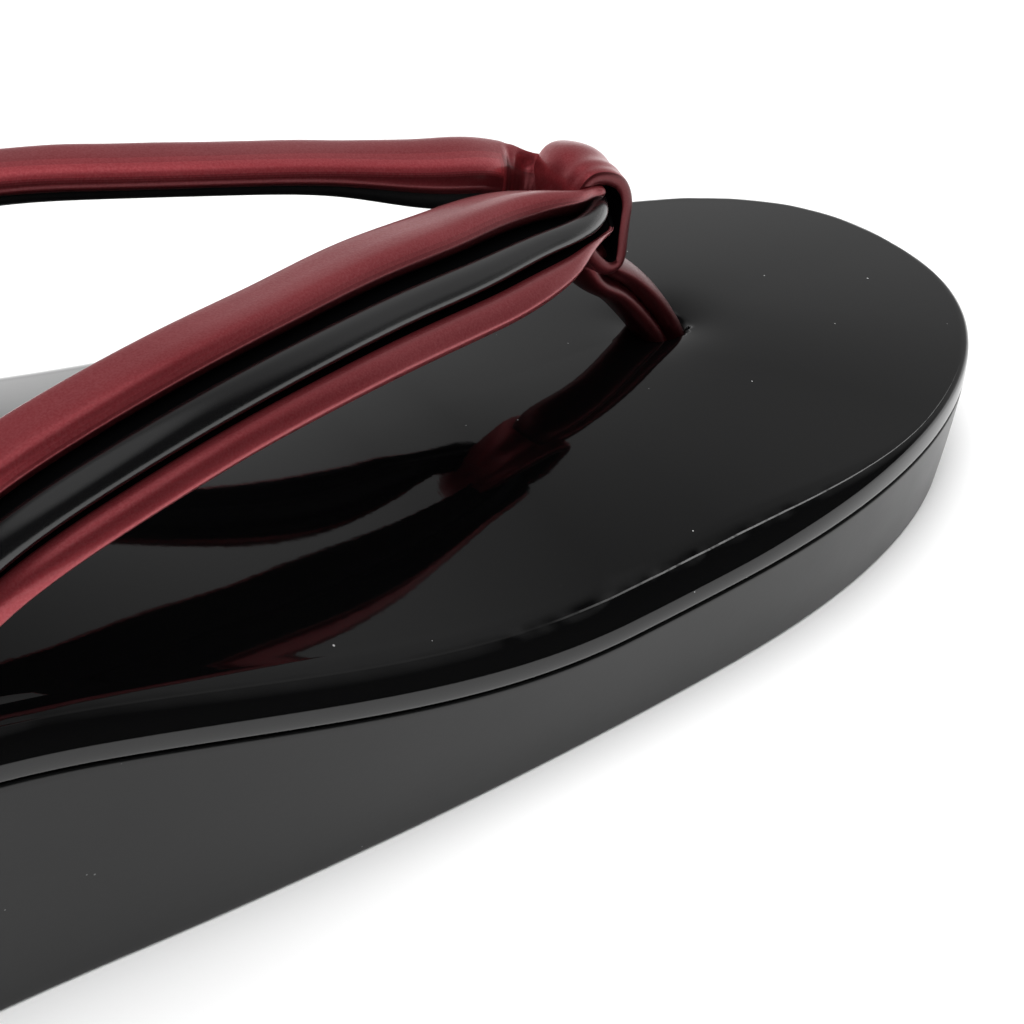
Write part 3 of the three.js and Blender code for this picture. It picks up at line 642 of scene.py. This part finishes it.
def strap_rings(side, arcs, shape):
    """Rings of one strap at distances along it, with its creases."""
    mid, across, out, wide, thick = placed(side, arcs)
    u = shape[None, :, 0] * wide[:, None]
    n = shape[None, :, 1] * thick[:, None]
    a = arcs[:, None] * np.ones_like(u)
    inner = smooth((-shape[:, 0] - 2.5) / 5.0)[None, :]
    # the pads taper to nothing where they are tucked into the ring
    low = smooth((shape[:, 0] - 2.4) / 1.2)[None, :]
    upper = smooth((a - 1.4) / 4.8)
    share = np.clip(spline(LOW_TIP[:, 0], LOW_TIP[:, 1], np.minimum(arcs, LOW_TIP[-1, 0])), 0.07, 1.0)[:, None]
    lower = (share - 0.07) / 0.93
    centre = spline(LOW_TIP[:, 0], LOW_TIP[:, 2], np.minimum(arcs, LOW_TIP[-1, 0]))[:, None]
    tuck = upper * (1 - low) + lower * low
    under = smooth((shape[:, 0] + 1.0) / 3.4)[None, :]
    sunk = 0.55 - 0.35 * under + (0.45 + 0.35 * under) * (upper * (1 - under) + lower * under)
    u = u * (0.60 + 0.40 * tuck) * (1 - low) + (centre + (u - centre) * share) * low
    # the upper pad's edge leans over the channel
    u = u + 0.3 * bell(shape[None, :, 0] + 3.3, 0.5) * smooth(shape[None, :, 1] + 0.2) * smooth((a - 12.0) / 15.0)
    n = n * np.where(n > 0, 0.25 + 0.75 * tuck, sunk)
    if side > 0:
        whole = smooth((a - 6.0) / 8.0) * (1 - smooth((a - 92.0) / 20.0))
        u = u + (LEFT_SHAPE - shape)[None, :, 0] * wide[:, None] * whole
        n = n + (LEFT_SHAPE - shape)[None, :, 1] * thick[:, None] * whole
        hang = bell(shape[:, 0] + 6.5, 3.5) * (shape[:, 1] < -2.0)
        n = n - 1.9 * hang[None, :] * bell(a - 22.0, 13.0)
        # on the left the padding is fuller before the ring, and stops short
        # of it on the inner side, where the leather is gathered in folds
        n = n + 1.1 * bell(a - 22.0, 13.0) * inner * smooth(shape[None, :, 1] / 3.0)
        squeeze = inner * (1.5 * bell(a - 9.0, 2.0) + 0.5 * bell(a - 12.2 - 0.15 * shape[None, :, 1], 0.7)
                           - 0.35 * bell(a - 7.4 + 0.10 * shape[None, :, 1], 0.6))
        away_u, away_n = shape[None, :, 0] + 6.4, shape[None, :, 1] - 0.2
        size = np.hypot(away_u, away_n) + 1e-6
        u = u - squeeze * away_u / size
        n = n - squeeze * away_n / size * np.where(away_n > 0, 0.45, 1.0)
    # slow unevenness of the stuffing
    soft = ripple(arcs * 1.0, 11 if side > 0 else 17, ((34.0, 0.08), (13.0, 0.03)))[:, None]
    n = n + soft * np.clip(shape[None, :, 1] / 3.0, 0, 1)
    pts = mid[:, None, :] + across[:, None, :] * u[..., None] + out[:, None, :] * n[..., None]
    if side < 0:
        # the right pad's upper tip ends in a small flap at the ring
        flap = 1.5 * bell(a - 6.0, 1.9) * smooth((shape[None, :, 0] + 7.0) / 3.2) * (shape[None, :, 0] < -3.0) * smooth(shape[None, :, 1] / 1.5)
        pts = (pts + flap[..., None] * np.array([0.74, 0.67, 0.0])) * [1, -1, 1]
    return pts


def straps():
    shape, zone = section()
    near = np.arange(0, 34, 0.42)
    far = np.linspace(34, LINE.length, 150)
    arcs = np.concatenate([near, far])
    left = strap_rings(1, arcs, shape)
    right = strap_rings(-1, arcs, shape)[:0:-1]
    left[0] = (left[0] + strap_rings(-1, arcs[:1], shape)[0]) / 2
    rings = np.concatenate([right, left])
    points, faces = lattice(rings)
    cols = len(shape)
    zones = np.tile(zone, (len(rings) - 1, 1))
    lower_pad = (shape[:, 0] > 2.0) & (zone == 0)
    # painted shade: the lower pad takes a slightly darker copy of the leather
    zones[:, lower_pad] = 3
    # painted shade: the upper pad's colour darkens in steps where it turns under into the channel
    for beyond, darker in ((-4.6, 3), (-4.15, 4), (-3.85, 5)):
        zones[:, (shape[:, 0] > beyond) & (shape[:, 0] < 0) & (zone == 0)] = darker
    # on the left strap the full inner edge is painted paler, a painted highlight; the side below it is painted darker,
    # and so are the folds by the ring: painted shade
    inner_edge = (LEFT_SHAPE[:, 0] < -7.0) & (zone == 0)
    for start, until, high, look in ((14.0, LINE.length, 0.55, 6), (15.0, LINE.length, -0.05, 7), (14.0, LINE.length, -1.62, 6),
                                     (14.0, LINE.length, -1.85, 0), (0.0, LINE.length, -2.05, 4), (0.0, LINE.length, -2.35, 5),
                                     (4.0, 14.2, 0.60, 3), (4.0, 13.8, 0.10, 4), (4.0, 13.2, -0.25, 5)):
        along = len(arcs) - 1 + np.flatnonzero((arcs[:-1] >= start) & (arcs[:-1] < until))
        zones[np.ix_(along, np.flatnonzero(inner_edge & (LEFT_SHAPE[:, 1] < high)))] = look
    hidden = int((arcs < 2.4).sum())
    zones[len(arcs) - hidden:len(arcs) + hidden - 1] = 2
    ended = int((arcs < 9.2).sum())
    zones[len(arcs) - ended:len(arcs) + ended - 1, lower_pad] = 1
    zones = np.concatenate([zones.ravel(), np.full(2 * cols, 2)])
    return make("hanao_straps_leather", points, faces, [BURGUNDY, GROOVE, LINING, BURGUNDY_SHADE_LIGHT, BURGUNDY_SHADE_MID, BURGUNDY_SHADE_DEEP, BURGUNDY_PAINTED_HIGHLIGHT, BURGUNDY_STRONG_HIGHLIGHT], zones)


def black_roll(side):
    start, stop = LINE.arc_of_row(0.9), LINE.arc_of_row(16.8)
    tip = 2.6
    arcs = np.concatenate([start + tip * (1 - np.cos(np.linspace(0.0, math.pi / 2, 12))), np.linspace(start + tip, stop, 190)[1:]])
    mid, across, out, wide, thick = placed(side, arcs)
    size = np.sqrt(np.clip(1 - (1 - np.clip((arcs - start) / tip, 0, 1)) ** 2, 0.0, 1))
    size = np.maximum(size, 0.02)
    grown = smooth((arcs - start) / 45.0)
    sunk = 0.35 if side > 0 else 0.0
    # the right roll lies nearer the upper pad where it enters the ring
    lift = 0.95 * bell(arcs - start, 14.0) * (side < 0)
    broad, thin = (size * (1.42 + 0.72 * grown))[:, None], (size * (1.25 + 0.12 * grown))[:, None]
    a = np.linspace(0, 2 * math.pi, 40, endpoint=False)
    # pressed a little flat, with its flat side turned up
    lie = math.radians(9.0)
    du = broad * np.cos(a) * math.cos(lie) - thin * np.sin(a) * math.sin(lie)
    dn = broad * np.cos(a) * math.sin(lie) + thin * np.sin(a) * math.cos(lie)
    pts = mid[:, None, :] + across[:, None, :] * (0.56 * wide[:, None] - lift[:, None] + du)[..., None] \
        + out[:, None, :] * ((0.95 + 0.20 * grown)[:, None] * thick[:, None] - sunk + dn)[..., None]
    if side < 0:
        pts = pts * [1, -1, 1]
    points, faces = lattice(pts)
    return make("black_roll_left_leather" if side > 0 else "black_roll_right_leather", points, faces, [ROLL_BLACK])


# ---- front thong -----------------------------------------------------------
def ring_line():
    """The ring seen from the side, and the way to its inside."""
    loop = looped(np.stack([X(RING[:, 0]), RING[:, 1]], 1), 150)
    turn = np.roll(loop, -1, 0) - np.roll(loop, 1, 0)
    inward = np.stack([-turn[:, 1], turn[:, 0]], 1)
    inward /= np.linalg.norm(inward, axis=1)[:, None]
    inward *= np.where((inward * (loop.mean(0) - loop)).sum(1).mean() < 0, -1, 1)
    return loop, inward


def ring_joint(y):
    """One side of the gathered lining that fills the middle of the ring."""
    loop, inward = ring_line()
    inner = loop + inward * (BAND - 0.2)
    points = np.stack([inner[:, 0], np.full(len(inner), y), inner[:, 1]], 1)
    points = np.vstack([points, points.mean(0)])
    k = np.arange(len(inner))
    faces = np.stack([np.full(len(k), len(k)), k, (k + 1) % len(k)], 1)
    return points, [faces if y > 0 else faces[:, ::-1]], np.ones(len(k))


def ring_band():
    loop, inward = ring_line()
    # the band's own section: its outside swells, its lips are thin
    rows = []
    for part in np.linspace(-0.95, 0.95, 27):
        rows.append((part * BAND_HALF, BAND_BULGE * part * part + 0.22 * bell(part + 0.70, 0.13) + 0.5 * bell(part + 0.22, 0.34), 0))
    # both lips take zone 2, the darkest copy of the leather: painted shade
    for a in np.radians(np.linspace(70, -70, 6)):
        rows.append((BAND_HALF * 0.95 + 0.45 * math.cos(a), BAND_BULGE * 0.92 + BAND_LIP / 2 - BAND_LIP / 2 * math.sin(a), 2 if a < 0.9 else 0))
    for part in np.linspace(0.95, -0.95, 17):
        thick = BAND_LIP + (BAND - BAND_LIP) * smooth((1 - abs(part)) / 0.45)
        rows.append((part * BAND_HALF, thick + BAND_BULGE * part * part, 1))
    for a in np.radians(np.linspace(-70, 70, 6)):
        rows.append((-BAND_HALF * 0.95 - 0.45 * math.cos(a), BAND_BULGE * 0.92 + BAND_LIP / 2 - BAND_LIP / 2 * math.sin(a), 2 if a < 0.9 else 0))
    rows = np.array(rows)
    pts = np.zeros((len(loop), len(rows), 3))
    skew = smooth((loop[:, 1] - 41.0) / 9.0)
    for k, (y, inset, _) in enumerate(rows):
        p = loop + inward * inset
        pts[:, k] = np.stack([p[:, 0] + 0.22 * y * skew, np.full(len(p), y), p[:, 1] - 0.11 * y * skew], 1)
    points, faces = lattice(pts, wrap_rows=True)
    return points, faces, np.tile(rows[:, 2], len(loop))


def leg(offset):
    run = np.concatenate([[0], np.cumsum(np.linalg.norm(np.diff(LEGS[:, :2], axis=0), axis=1))])
    at = np.linspace(0, run[-1], 70)
    rows = spline(run, LEGS, at)
    line = np.stack([X(rows[:, 0]), rows[:, 1]], 1)
    turn = np.gradient(line, axis=0)
    turn /= np.linalg.norm(turn, axis=1)[:, None]
    front = np.stack([-turn[:, 1], turn[:, 0]], 1)
    line = line + front * (offset * rows[:, 3])[:, None]
    a = np.linspace(0, 2 * math.pi, 48, endpoint=False)
    pts = np.zeros((len(at), len(a), 3))
    pts[..., 0] = line[:, None, 0] + front[:, None, 0] * LEG_HALF_THICK * np.cos(a)
    pts[..., 2] = line[:, None, 1] + front[:, None, 1] * LEG_HALF_THICK * np.cos(a)
    pts[..., 1] = rows[:, None, 2] * np.sin(a)
    points, faces = lattice(pts)
    # the legs take a darker copy of the leather (zone 3): painted shade
    return points, faces, np.full(sum(len(f) for f in faces), 3)


def front_thong():
    points, faces, zones, count = [], [], [], 0
    for p, f, z in (ring_band(), ring_joint(1.2), ring_joint(-1.2), leg(1), leg(-1)):
        points.append(p)
        faces += [q + count for q in f]
        zones.append(z)
        count += len(p)
    return make("front_thong_leather", np.vstack(points), faces, [BURGUNDY, GROOVE, BURGUNDY_SHADE_DEEP, BURGUNDY_LEG_SHADE], np.concatenate(zones))


# ---- the pieces ------------------------------------------------------------
pieces = {
    "top_board": (top_board(), "patent_top", 0.9),
    "sole_body": (sole_body(), "patent_wall", None),
    "hanao_straps": (straps(), "burgundy_leather", 0.85),
    "black_roll_right": (black_roll(-1), "black_roll", 0.9),
    "black_roll_left": (black_roll(1), "black_roll", 0.9),
    "front_thong": (front_thong(), "burgundy_leather", None),
}
for cad_node, (piece, slot, fill) in pieces.items():
    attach(piece, "root")
    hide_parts(cad_node)

# ---- floor, light and camera -------------------------------------------------
scene = bpy.context.scene
scene.view_settings.view_transform = "Standard"
scene.view_settings.look = "None"

floor_mesh = bpy.data.meshes.new("floor")
floor_mesh.from_pydata([(-6, -6, 0), (6, -6, 0), (6, 6, 0), (-6, 6, 0)], [], [(0, 1, 2, 3)])
floor = bpy.data.objects.new("floor", floor_mesh)
scene.collection.objects.link(floor)
floor_look, floor_tree, floor_bsdf = material("floor_white")
floor_bsdf.inputs["Base Color"].default_value = (0.9, 0.9, 0.9, 1)
floor_bsdf.inputs["Roughness"].default_value = 0.9
floor_bsdf.inputs["Specular IOR Level"].default_value = 0.0
floor_mesh.materials.append(floor_look)


def area(name, to, elevation, azimuth, distance, size, watts, glossy=True):
    """A soft lamp that looks at a point from an azimuth and elevation."""
    data = bpy.data.lights.new(name, "AREA")
    data.shape = "RECTANGLE"
    data.size, data.size_y = size
    data.energy = watts
    lamp = bpy.data.objects.new(name, data)
    e, a = math.radians(elevation), math.radians(azimuth)
    way = Vector((math.cos(e) * math.cos(a), math.cos(e) * math.sin(a), math.sin(e)))
    lamp.location = Vector(to) + way * distance
    lamp.rotation_mode = "QUATERNION"
    lamp.rotation_quaternion = (-way).to_track_quat("-Z", "Y")
    lamp.visible_camera = False
    lamp.visible_glossy = glossy
    scene.collection.objects.link(lamp)
    return lamp


middle = (0.02, 0.0, 0.03)
area("key", middle, 80, 60, 2.0, (1.6, 1.6), 34.0, glossy=False)
area("fill", middle, 55, 226, 2.0, (1.4, 1.4), 29.0, glossy=False)

world = bpy.data.worlds.new("studio")
scene.world = world
world.use_nodes = True
wt = world.node_tree
background = wt.nodes["Background"]
sky = wt.nodes.new("ShaderNodeTexCoord").outputs["Generated"]
dot = wt.nodes.new("ShaderNodeVectorMath")
dot.operation = "DOT_PRODUCT"
AWAY = Vector((0.674, 0.738, 0.30)).normalized()
dot.inputs[1].default_value = AWAY
wt.links.new(sky, dot.inputs[0])
wall_light = ramp(wt, dot.outputs["Value"], 0.30, 0.62, 0.05, 0.44)
split = wt.nodes.new("ShaderNodeSeparateXYZ")
wt.links.new(sky, split.inputs[0])
wall_light = math_node(wt, "MULTIPLY", wall_light, ramp(wt, split.outputs["Z"], 0.45, 0.90, 1.0, 0.55))
low = math_node(wt, "MULTIPLY", ramp(wt, split.outputs["Z"], 0.06, 0.26, 0.9, 0.0), ramp(wt, dot.outputs["Value"], 0.2, 0.6, 0.0, 1.0))
over = ramp(wt, split.outputs["Z"], 0.74, 0.92, 0.0, 0.60)
wt.links.new(math_node(wt, "MAXIMUM", math_node(wt, "MAXIMUM", wall_light, low), over), background.inputs["Strength"])
background.inputs["Color"].default_value = (1, 1, 1, 1)

cam_data = bpy.data.cameras.new("camera")
cam = bpy.data.objects.new("camera", cam_data)
scene.collection.objects.link(cam)
scene.camera = cam
cam_data.sensor_width = 36.0
cam_data.lens = 81.11
cam_data.clip_start, cam_data.clip_end = 0.01, 50.0
yaw, pitch, tilt = (math.radians(v) for v in (42.40874, 37.87902, 3.89118))
ahead = Vector((math.cos(pitch) * math.sin(yaw), math.cos(pitch) * math.cos(yaw), -math.sin(pitch)))
right = Vector((math.cos(yaw), -math.sin(yaw), 0))
up = right.cross(ahead)
r = right * math.cos(tilt) + up * math.sin(tilt)
u = up * math.cos(tilt) - right * math.sin(tilt)
turned = Matrix((r, u, -ahead)).transposed().to_4x4()
turned.translation = Vector((-0.1319418, -0.1926451, 0.2055913))
cam.matrix_world = turned
